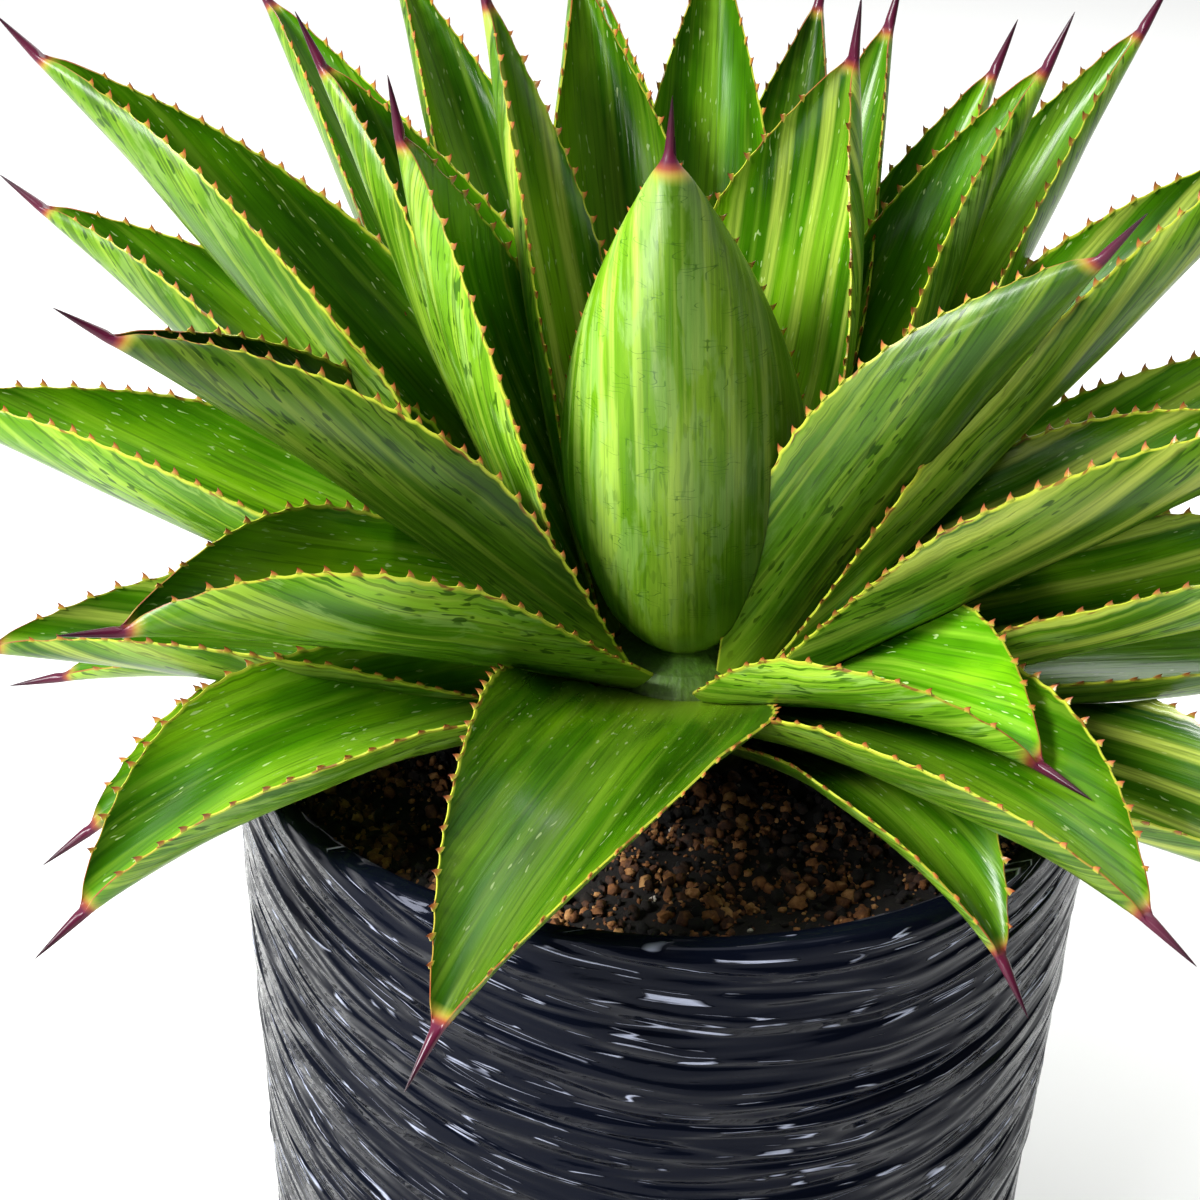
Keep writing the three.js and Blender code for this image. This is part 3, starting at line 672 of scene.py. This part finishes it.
def budSurface(place, azimuth, wrap):
    # wrapped round the bud's leaning axis, tucked in at the foot and keeled below the needle
    height = bud["height"] - bud["shorter"] * place
    widest = bud["radius"] - bud["spacing"] * place

    def at(s, v):
        swollen = widest * swell(s, bud["foot"], bud["peak"], bud["tip"], 1.83)
        tuck = np.sqrt(1 - 0.6 * (1 - np.clip(s / bud["tucked"], 0, 1)) ** 2)
        keel = bud["keel"] * np.exp(-(v * wrap / bud["keelWidth"]) ** 2)
        keel = keel * np.clip((s - 0.5) / 0.3, 0, 1) * np.clip((1 - s) / 0.1, 0, 1)
        radius = np.maximum(swollen * tuck - bud["thickness"] + keel, bud["least"])
        turn = np.radians(azimuth + v * wrap)
        outward = np.stack([np.cos(turn), np.sin(turn), np.zeros_like(turn)], -1)
        rise = height * s
        lean = bud["lean"] * (rise / bud["height"]) ** 2
        axis = np.stack([stem["x"] - lean, np.zeros_like(s), bud["z"] + rise], -1)
        return {
            "point": axis + outward * radius[:, None],
            "normal": -outward,
            "along": np.tile([0.0, 0.0, 1.0], (len(s), 1)),
            "edge": np.stack([-np.sin(turn), np.cos(turn), np.zeros_like(turn)], -1) * np.sign(v)[:, None],
            "half": radius * math.radians(wrap),
        }

    return at


for place in (2, 1, 0):
    node, azimuth, wrap = bud["leaves"][place]
    leaf = {
        "length": bud["height"] - bud["shorter"] * place,
        "thickness": lambda s: np.full_like(s, bud["thickness"]),
        "seed": 101 + place, "wave": 0.3 * mm, "tone": 1.0, "stripe": 0.0,
        "marginDepth": 0.1 * mm, "flare": 0.9,
        "needleShift": bud["radius"] * bud["tip"] - bud["thickness"],
    }
    makeBlade(f"agaveBudLeaf{place + 1}", budSurface(place, azimuth, wrap), leaf, budSkin, "bud", node)
for node in ("bud_core", "stem"):
    frame["nodes"][node].data.materials.clear()
    frame["nodes"][node].data.materials.append(stemSkin)
print("bud made")

# one row per leaf, youngest first, as in the solid: azimuth, rise at foot and tip, seat, roll, sway
# in degrees; length and width in millimetres; fold in degrees; foot width and widest place as parts
leafRows = [
    (182, 63, 79, 38, -10, 0, 155, 74, 56, 0.35, 0.5),
    (338, 62, 54, 36, -30, 0, 154, 68, 65, 0.35, 0.5),
    (40, 76, 86, 38, 0, 0, 162, 76, 58, 0.3, 0.6),
    (148, 74, 76, 38, 0, 0, 176, 42, 60, 0.3, 0.5),
    (116, 71, 72, 34, 0, 0, 180, 60, 55, 0.3, 0.5),
    (88, 68, 69, 24, 0, 0, 192, 56, 55, 0.3, 0.5),
    (55, 68, 68, 28, 0, 0, 174, 52, 55, 0.3, 0.5),
    (20, 67, 66, 28, 0, 0, 176, 64, 72, 0.3, 0.5),
    (154, 60, 59, 26, 0, 0, 176, 70, 72, 0.35, 0.5),
    (42, 62, 60, 20, 0, 0, 174, 54, 65, 0.3, 0.5),
    (104, 60, 58, 14, 0, 0, 190, 52, 60, 0.3, 0.5),
    (74, 58, 56, 14, 0, 0, 190, 52, 60, 0.3, 0.5),
    (130, 58, 56, 20, 0, 0, 200, 54, 60, 0.3, 0.5),
    (198, 44, 34, 34, 8, 0, 166, 76, 88, 0.4, 0.5),
    (0, 52, 49, 28, 0, 0, 202, 72, 78, 0.35, 0.5),
    (166, 47, 41, 22, 0, 0, 220, 76, 85, 0.35, 0.5),
    (24, 60, 60, 12, 0, 0, 200, 58, 64, 0.3, 0.5),
    (342, 37, 33, 28, 0, 0, 172, 74, 88, 0.35, 0.5),
    (136, 48, 44, 12, 0, 0, 216, 58, 65, 0.3, 0.5),
    (315, 25, -9, 34, 0, 0, 102, 72, 70, 0.45, 0.5),
    (208, 22, 8, 40, 3, 0, 142, 80, 85, 0.45, 0.58),
    (161, 35, 31, 13, 0, 0, 200, 72, 80, 0.35, 0.5),
    (8, 34, 28, 14, 0, 0, 188, 62, 68, 0.35, 0.5),
    (46, 34, 28, 8, 0, 0, 170, 60, 60, 0.3, 0.5),
    (98, 40, 30, 6, 0, 0, 180, 60, 60, 0.3, 0.5),
    (178, 24, 21, 9, 0, 0, 196, 78, 76, 0.35, 0.5),
    (348, 21, 20, 14, 0, 0, 178, 74, 70, 0.35, 0.5),
    (138, 29, 22, 2, 0, 0, 185, 60, 60, 0.3, 0.5),
    (215, 12, -34, 20, 0, 0, 158, 66, 62, 0.45, 0.6),
    (310, 18, -18, 20, 0, 0, 142, 74, 62, 0.45, 0.5),
    (259, 16, -40, 32, 0, -22, 146, 78, 52, 0.55, 0.3),
    (188, 10, 4, 4, 0, 0, 160, 70, 62, 0.35, 0.5),
    (354, 11, 5, 4, 0, 0, 176, 58, 55, 0.3, 0.5),
    (28, 20, 12, 0, 0, 0, 180, 60, 60, 0.3, 0.5),
    (72, 22, 8, -2, 0, 0, 175, 60, 60, 0.3, 0.5),
    (114, 18, 6, -6, 0, 0, 175, 60, 60, 0.3, 0.5),
    (333, 6, -18, 6, 0, 0, 168, 76, 52, 0.35, 0.5),
    (201, 14, -34, -2, 0, 0, 142, 52, 45, 0.3, 0.6),
    (306, 20, -45, 2, 0, 0, 112, 48, 55, 0.35, 0.5),
    (178, 8, -14, -4, 0, 0, 148, 46, 45, 0.3, 0.5),
    (50, 11, -8, -8, 0, 0, 160, 54, 55, 0.3, 0.5),
    (94, 10, -8, -10, 0, 0, 160, 54, 55, 0.3, 0.5),
    (146, 9, -6, -10, 0, 0, 160, 50, 50, 0.3, 0.5),
]
leafWords = ("azimuth", "rise", "tip", "seat", "roll", "sway", "length", "width", "fold", "foot", "peak")
leafMany = {
    "wave": 0.9 * mm, "over": {31: 30},  # the leaf that lies over a younger one
    # by leaf number: how strongly it is striped, and its brightness; on the listed leaves this brightness is
    # painted light and shade, lighter or darker as the light falls on each, and for the rest it is a random
    # tone between these
    "striped": {3: 0.5, 4: 0.7, 15: 0.6, 18: 0.9, 23: 0.7, 27: 0.8, 32: 0.5, 37: 0.9},
    "tones": {1: 1.5, 2: 0.68, 3: 1.3, 14: 0.42, 16: 1.0, 18: 0.6, 20: 2.0, 21: 1.1, 29: 1.15,
              30: 0.82, 31: 0.64},
    "tone": (0.9, 1.3),
}


def makeLeaf(number):
    leaf = dict(zip(leafWords, leafRows[number - 1]))
    leaf["length"] *= mm
    leaf["width"] *= mm
    anyTone = random.Random(number + 500).uniform(*leafMany["tone"])
    leaf |= {
        "seed": number, "wave": leafMany["wave"], "tone": leafMany["tones"].get(number, anyTone),
        "stripe": leafMany["striped"].get(number, 0.0), "needleShift": -0.5 * mm,
        "marginDepth": 0.25 * mm, "flare": 0.0,
        "thickness": lambda s: blade["footThickness"] + (blade["tipThickness"] - blade["footThickness"]) * s,
    }
    makeBlade(f"agaveLeaf{number:02d}", leafSurface(leaf), leaf, leafSkin, "leaf", f"leaf_{number:02d}")


order = list(range(1, len(leafRows) + 1))
for upperLeaf, lowerLeaf in leafMany["over"].items():
    order.remove(upperLeaf)
    order.insert(order.index(lowerLeaf), upperLeaf)
for number in order:
    makeLeaf(number)
for grown, tree in younger:
    bpy.data.objects.remove(grown, do_unlink=True)
print("leaves made", len(order))


pot = {
    "height": 220 * mm, "rimRadius": 118 * mm, "footRadius": 107.5 * mm, "wall": 4 * mm, "floor": 5 * mm,
    "sides": 192, "drain": 6 * mm, "drainRing": 62 * mm,
    "footRound": 3 * mm, "footCorner": (0.8 * mm, 0.6 * mm), "rimRound": 1 * mm, "rimCorner": 0.3 * mm,
}
seatGap = 0.3 * mm  # between a piece and what it lies on
film = {
    "around": 400, "rows": 232, "foot": 3 * mm, "thickness": 0.8 * mm, "tuck": 5 * mm,
    "crease": 1.5 * mm, "narrowness": 2.4, "sharpness": 1.4, "overRim": 0.35,
    "warp": 5 * mm, "warpAcross": 50 * mm, "warpUp": 40 * mm, "downhill": (0.34, -0.94),
    "ends": (0.01, 0.957), "fade": 0.02,  # shares of the rows between which it is creased
    # each family of creases: tilt, length, spacing and share
    "families": [(0.35, 90 * mm, 13 * mm, 0.5), (0.2, 55 * mm, 7.5 * mm, 0.35), (0.45, 45 * mm, 5 * mm, 0.2)],
}
soil = {
    "top": 206 * mm, "mound": 2.5 * mm, "rings": 44, "sides": 160,
    "lumps": 2.2 * mm, "lumpSize": 14 * mm, "clumpSize": 11 * mm,
}


def potRadius(z):
    return pot["footRadius"] + (pot["rimRadius"] - pot["footRadius"]) * z / pot["height"]


def ringStack(name, sides, rings):
    # a circle, extruded and scaled from one ring to the next
    radius, height = rings[0]
    place = (0, 0, height)
    bpy.ops.mesh.primitive_circle_add(vertices=sides, radius=radius, location=place, fill_type="NGON")
    piece = bpy.context.object
    piece.name = name
    bpy.ops.object.transform_apply(location=True)
    bpy.ops.object.mode_set(mode="EDIT")
    bpy.ops.mesh.select_all(action="SELECT")
    for (r0, z0), (r1, z1) in zip(rings, rings[1:]):
        bpy.ops.mesh.extrude_region_move(TRANSFORM_OT_translate={"value": (0, 0, z1 - z0)})
        bpy.ops.transform.resize(value=(r1 / r0, r1 / r0, 1), center_override=(0, 0, z1))
    bpy.ops.mesh.select_all(action="SELECT")
    bpy.ops.mesh.normals_make_consistent(inside=False)
    bpy.ops.object.mode_set(mode="OBJECT")
    return piece


def makePot():
    top = pot["height"]
    inner = potRadius(top) - pot["wall"]
    dot = 2 * mm  # radius of the disc in the middle of the foot and of the floor
    footRound, rimRound, rimCorner = pot["footRound"], pot["rimRound"], pot["rimCorner"]
    inwards, upwards = pot["footCorner"]
    rings = [
        (dot, 0), (potRadius(0) - footRound, 0),
        (potRadius(0) - inwards, upwards), (potRadius(footRound), footRound),
        (potRadius(top - rimRound), top - rimRound), (potRadius(top) - rimCorner, top - rimCorner),
        (potRadius(top) - rimRound, top), (inner + rimRound, top), (inner + rimCorner, top - rimCorner),
        (inner, top - rimRound), (potRadius(pot["floor"]) - pot["wall"], pot["floor"]), (dot, pot["floor"]),
    ]
    shell = ringStack("potShell", pot["sides"], rings)
    for quarter in range(4):
        turn = math.pi * (0.25 + 0.5 * quarter)
        spot = (pot["drainRing"] * math.cos(turn), pot["drainRing"] * math.sin(turn), pot["floor"] / 2)
        through = 2 * pot["floor"]
        bpy.ops.mesh.primitive_cylinder_add(vertices=32, radius=pot["drain"], depth=through, location=spot)
        drill = bpy.context.object
        pressInto(shell, drill)
        bpy.data.objects.remove(drill, do_unlink=True)
    finishPiece(shell, potPlastic, "pot", "pot", angle=50)


def creaseHeight(x, y, z):
    # sharp crests, each family running round the pot at its own slight tilt
    spot = Vector((x / film["warpAcross"], y / film["warpAcross"], z / film["warpUp"]))
    warp = film["warp"] * noise.noise(spot)
    downX, downY = film["downhill"]
    total = 0.0
    for k, (tilt, lengthwise, spacing, share) in enumerate(film["families"]):
        level = (z + tilt * (downX * x + downY * y) + warp) / spacing
        value = noise.noise(Vector((x / lengthwise, y / lengthwise + 9 * k, level)))
        total += share * max(0.0, 1 - film["narrowness"] * abs(value)) ** film["sharpness"]
    return total


def makeFilm():
    # a thin closed skin round the pot and over its rim, pulled into long creases on the outside
    bpy.ops.mesh.primitive_grid_add(x_subdivisions=film["around"], y_subdivisions=film["rows"], size=2)
    flat, faces = takeMesh(bpy.context.object)
    turn = np.pi * flat[:, 0]
    p = (flat[:, 1] + 1) / 2
    top = pot["height"]
    skin = seatGap + film["thickness"]
    lip = potRadius(top) - pot["wall"] - seatGap
    outer = potRadius(top) + skin
    inner = lip - film["thickness"]
    foot = (potRadius(film["foot"]) + seatGap, film["foot"])
    # row, radius and height: up the outside, over the rim, and back along the pot
    path = [(0, *foot), (1, potRadius(film["foot"]) + skin, film["foot"]),
            (209, outer, top - 1.5 * mm), (212, outer - 0.5 * mm, top + skin - 0.4 * mm),
            (215, outer - 1.3 * mm, top + skin), (218, inner + 0.6 * mm, top + skin),
            (220, inner, top + skin - 0.8 * mm), (223, inner, top - film["tuck"]),
            (225, lip, top - film["tuck"]), (227, lip, top + seatGap),
            (229, potRadius(top) + seatGap, top + seatGap), (film["rows"], *foot)]
    rows, radii, heights = (np.array(column) for column in zip(*path))
    places = rows / film["rows"]
    radius, height = np.interp(p, places, radii), np.interp(p, places, heights)
    x, y = radius * np.cos(turn), radius * np.sin(turn)
    low, high = film["ends"]
    hold = np.clip((p - low) / film["fade"], 0, 1) * np.clip((high - p) / film["fade"], 0, 1)
    push = np.array([creaseHeight(*spot) for spot in zip(x, y, height)])
    # creases are lower over the rim, and stand up there instead of out
    push = film["crease"] * push * hold * np.interp(p, [0.87, 0.915], [1, film["overRim"]])
    outwards = np.interp(p, [0.9, 0.925], [1, 0])
    grown = radius + push * outwards
    points = np.stack([grown * np.cos(turn), grown * np.sin(turn), height + push * (1 - outwards)], -1)
    piece = meshPiece("stretchFilmSkin", points, faces)
    mergePoints(piece)
    bpy.ops.mesh.normals_make_consistent(inside=False)
    bpy.ops.object.mode_set(mode="OBJECT")
    finishPiece(piece, stretchFilm, "film", "film_wrap", angle=70)


def soilHeight(x, y):
    r = math.hypot(x, y) / potRadius(soil["top"])
    lump = noise.fractal(Vector((x / soil["lumpSize"], y / soil["lumpSize"], 3.1)), 1.0, 2.0, 4)
    return soil["top"] + soil["mound"] * (1 - r * r) + soil["lumps"] * lump * min(1, (1 - r) * 12)


def makeSoil():
    rim = potRadius(soil["top"]) - pot["wall"] - seatGap
    bottom = pot["floor"] + seatGap
    lowDisc, topDisc = 2 * mm, 1 * mm  # radii of the discs in the middle
    rings = [(lowDisc, bottom), (potRadius(pot["floor"]) - pot["wall"] - seatGap, bottom)]
    for k in range(soil["rings"] + 1):
        rings.append((rim * (1 - k / soil["rings"]) + topDisc * k / soil["rings"], soil["top"]))
    piece = ringStack("pottingMix", soil["sides"], rings)
    for vertex in piece.data.vertices:
        if vertex.co.z > soil["top"] - 1 * mm:
            vertex.co.z = soilHeight(vertex.co.x, vertex.co.y)
    # the stem's foot is rooted in it, with a little room all round
    stemMesh = frame["nodes"]["stem"].data
    socket = meshPiece("socket", [v.co for v in stemMesh.vertices], [p.vertices for p in stemMesh.polygons])
    mergePoints(socket)
    bpy.ops.object.mode_set(mode="OBJECT")
    for vertex in socket.data.vertices:
        vertex.co += vertex.normal * seatGap
    pressInto(piece, socket)
    bpy.data.objects.remove(socket, do_unlink=True)
    storePoints(piece.data, "tone", np.full(len(piece.data.vertices), 0.5))
    finishPiece(piece, dampPeat, "soil", "soil", angle=70)


# how many, radius in millimetres, brightness, the lump's segments and rings, and how clumped
crumbs = {
    "barkCrumbs": {"count": 3300, "size": (0.8, 2.5), "tone": (0.2, 0.95), "sides": (7, 5), "clumped": 0.75},
    "coirCrumbs": {"count": 6000, "size": (0.4, 1.0), "tone": (0.15, 1.0), "sides": (5, 4), "clumped": 0.5},
    "peatCrumbs": {"count": 1800, "size": (0.9, 2.4), "tone": (0.2, 0.8), "sides": (7, 5), "clumped": 0.0},
    "perliteSpecks": {"count": 70, "size": (0.5, 1.3), "tone": (0.4, 0.9), "sides": (7, 5), "clumped": 0.3},
}


def makeCrumbs(name, material, seed):
    # one knobbly lump, copied over the soil at many sizes and turns, in clumps
    plan = crumbs[name]
    smallest, largest = (radius * mm for radius in plan["size"])
    bpy.ops.mesh.primitive_uv_sphere_add(segments=plan["sides"][0], ring_count=plan["sides"][1], radius=1)
    lump, lumpFaces = takeMesh(bpy.context.object)
    draw = random.Random(seed)
    points, faces, tones = [], [], []
    rim = potRadius(soil["top"]) - pot["wall"]
    while len(points) < plan["count"]:
        r = (rim - 2.5 * mm) * math.sqrt(draw.uniform(0.05, 1))
        turn = draw.uniform(0, 2 * math.pi)
        x, y = r * math.cos(turn), r * math.sin(turn)
        gathered = noise.noise(Vector((x / soil["clumpSize"], y / soil["clumpSize"], 0.7)))
        if draw.random() < plan["clumped"] * (0.6 - 2 * gathered):
            continue
        k = len(points)
        knobs = np.array([1 + 0.5 * noise.noise(Vector(p) * 1.7 + Vector((k, 0, 0))) for p in lump])
        size = smallest + (largest - smallest) * draw.random() ** 2
        size = min(size, (rim - 0.5 * mm - r) / 1.3)
        stretch = np.array([1, draw.uniform(0.55, 1), draw.uniform(0.45, 0.9)])
        spin = Quaternion([draw.gauss(0, 1) for _ in range(4)]).normalized().to_matrix()
        shape = (lump * knobs[:, None] * stretch * size) @ np.array(spin)
        points.append(shape + [x, y, soilHeight(x, y) + size * draw.uniform(0.05, 0.5)])
        faces += [[index + k * len(lump) for index in face] for face in lumpFaces]
        tones.append(np.full(len(lump), draw.uniform(*plan["tone"])))
    piece = meshPiece(name, np.vstack(points), faces)
    storePoints(piece.data, "tone", np.concatenate(tones))
    finishPiece(piece, material, "soil", angle=60)


makePot()
makeFilm()
makeSoil()
makeCrumbs("barkCrumbs", barkCrumb, 11)
makeCrumbs("coirCrumbs", barkCrumb, 12)
makeCrumbs("peatCrumbs", dampPeat, 13)
makeCrumbs("perliteSpecks", perlite, 14)
print("pot, film and soil made")


studio = {
    "floor": "#F6F6F4", "world": "#FAFBFC", "aim": (0, 0, 0.26),
    "front": 0.04, "back": 1.1, "bright": (-0.35, 0.85, 0.3),  # the world is brightest this way, behind
    "key": {"place": (-1.05, -0.62, 1.2), "size": 0.5, "power": 40},
    "low": {"place": (-0.75, -1.35, 0.6), "size": 0.2, "power": 5},
    "rim": {"place": (0.35, 1.1, 1.3), "size": 0.8, "power": 12},
    "top": {"place": (-0.1, 0.1, 1.9), "size": 1.0, "power": 8},
}
camera = {
    "lens": 72, "sensor": 36, "distance": 0.655, "target": (-0.0195, 0, 0.252),
    "elevation": 27, "roll": 2,  # degrees
}

bpy.ops.mesh.primitive_plane_add(size=12, location=(0, 0, 0))
floor = bpy.context.object
floor.name = "studioFloor"
paper, _, paperSkin = newMaterial("matt white paper")
paperSkin.inputs["Base Color"].default_value = srgb(studio["floor"])
paperSkin.inputs["Roughness"].default_value = 0.9
floor.data.materials.append(paper)

world = bpy.data.worlds.new("studio")
bpy.context.scene.world = world
world.use_nodes = True
sky = world.node_tree
background = sky.nodes["Background"]
background.inputs[0].default_value = srgb(studio["world"])
heading = {0: addNode(sky, "ShaderNodeTexCoord").outputs["Generated"], 1: studio["bright"]}
towards = addNode(sky, "ShaderNodeVectorMath", heading, operation="DOT_PRODUCT").outputs["Value"]
fromTo = {0: towards, 1: -0.45, 2: 0.4, 3: studio["front"], 4: studio["back"]}
strength = addNode(sky, "ShaderNodeMapRange", fromTo)
sky.links.new(strength.outputs[0], background.inputs[1])

for name in ("key", "low", "rim", "top"):
    lamp = studio[name]
    data = bpy.data.lights.new(name, "AREA")
    data.shape = "SQUARE"
    data.size = lamp["size"]
    data.energy = lamp["power"]
    light = bpy.data.objects.new(name, data)
    light.location = lamp["place"]
    light.rotation_mode = "QUATERNION"
    light.rotation_quaternion = (Vector(studio["aim"]) - Vector(lamp["place"])).to_track_quat("-Z", "Y")
    bpy.context.collection.objects.link(light)

eye = bpy.data.objects.new("camera", bpy.data.cameras.new("camera"))
eye.data.lens = camera["lens"]
eye.data.sensor_width = camera["sensor"]
elevation = math.radians(camera["elevation"])
back = Vector((0, -math.cos(elevation), math.sin(elevation)))
eye.location = Vector(camera["target"]) + back * camera["distance"]
eye.rotation_mode = "QUATERNION"
eye.rotation_quaternion = back.to_track_quat("Z", "Y") @ Quaternion((0, 0, 1), math.radians(camera["roll"]))
eye.data.clip_start = 0.01
bpy.context.collection.objects.link(eye)
bpy.context.scene.camera = eye
bpy.context.scene.view_settings.view_transform = "Standard"
print("studio made")
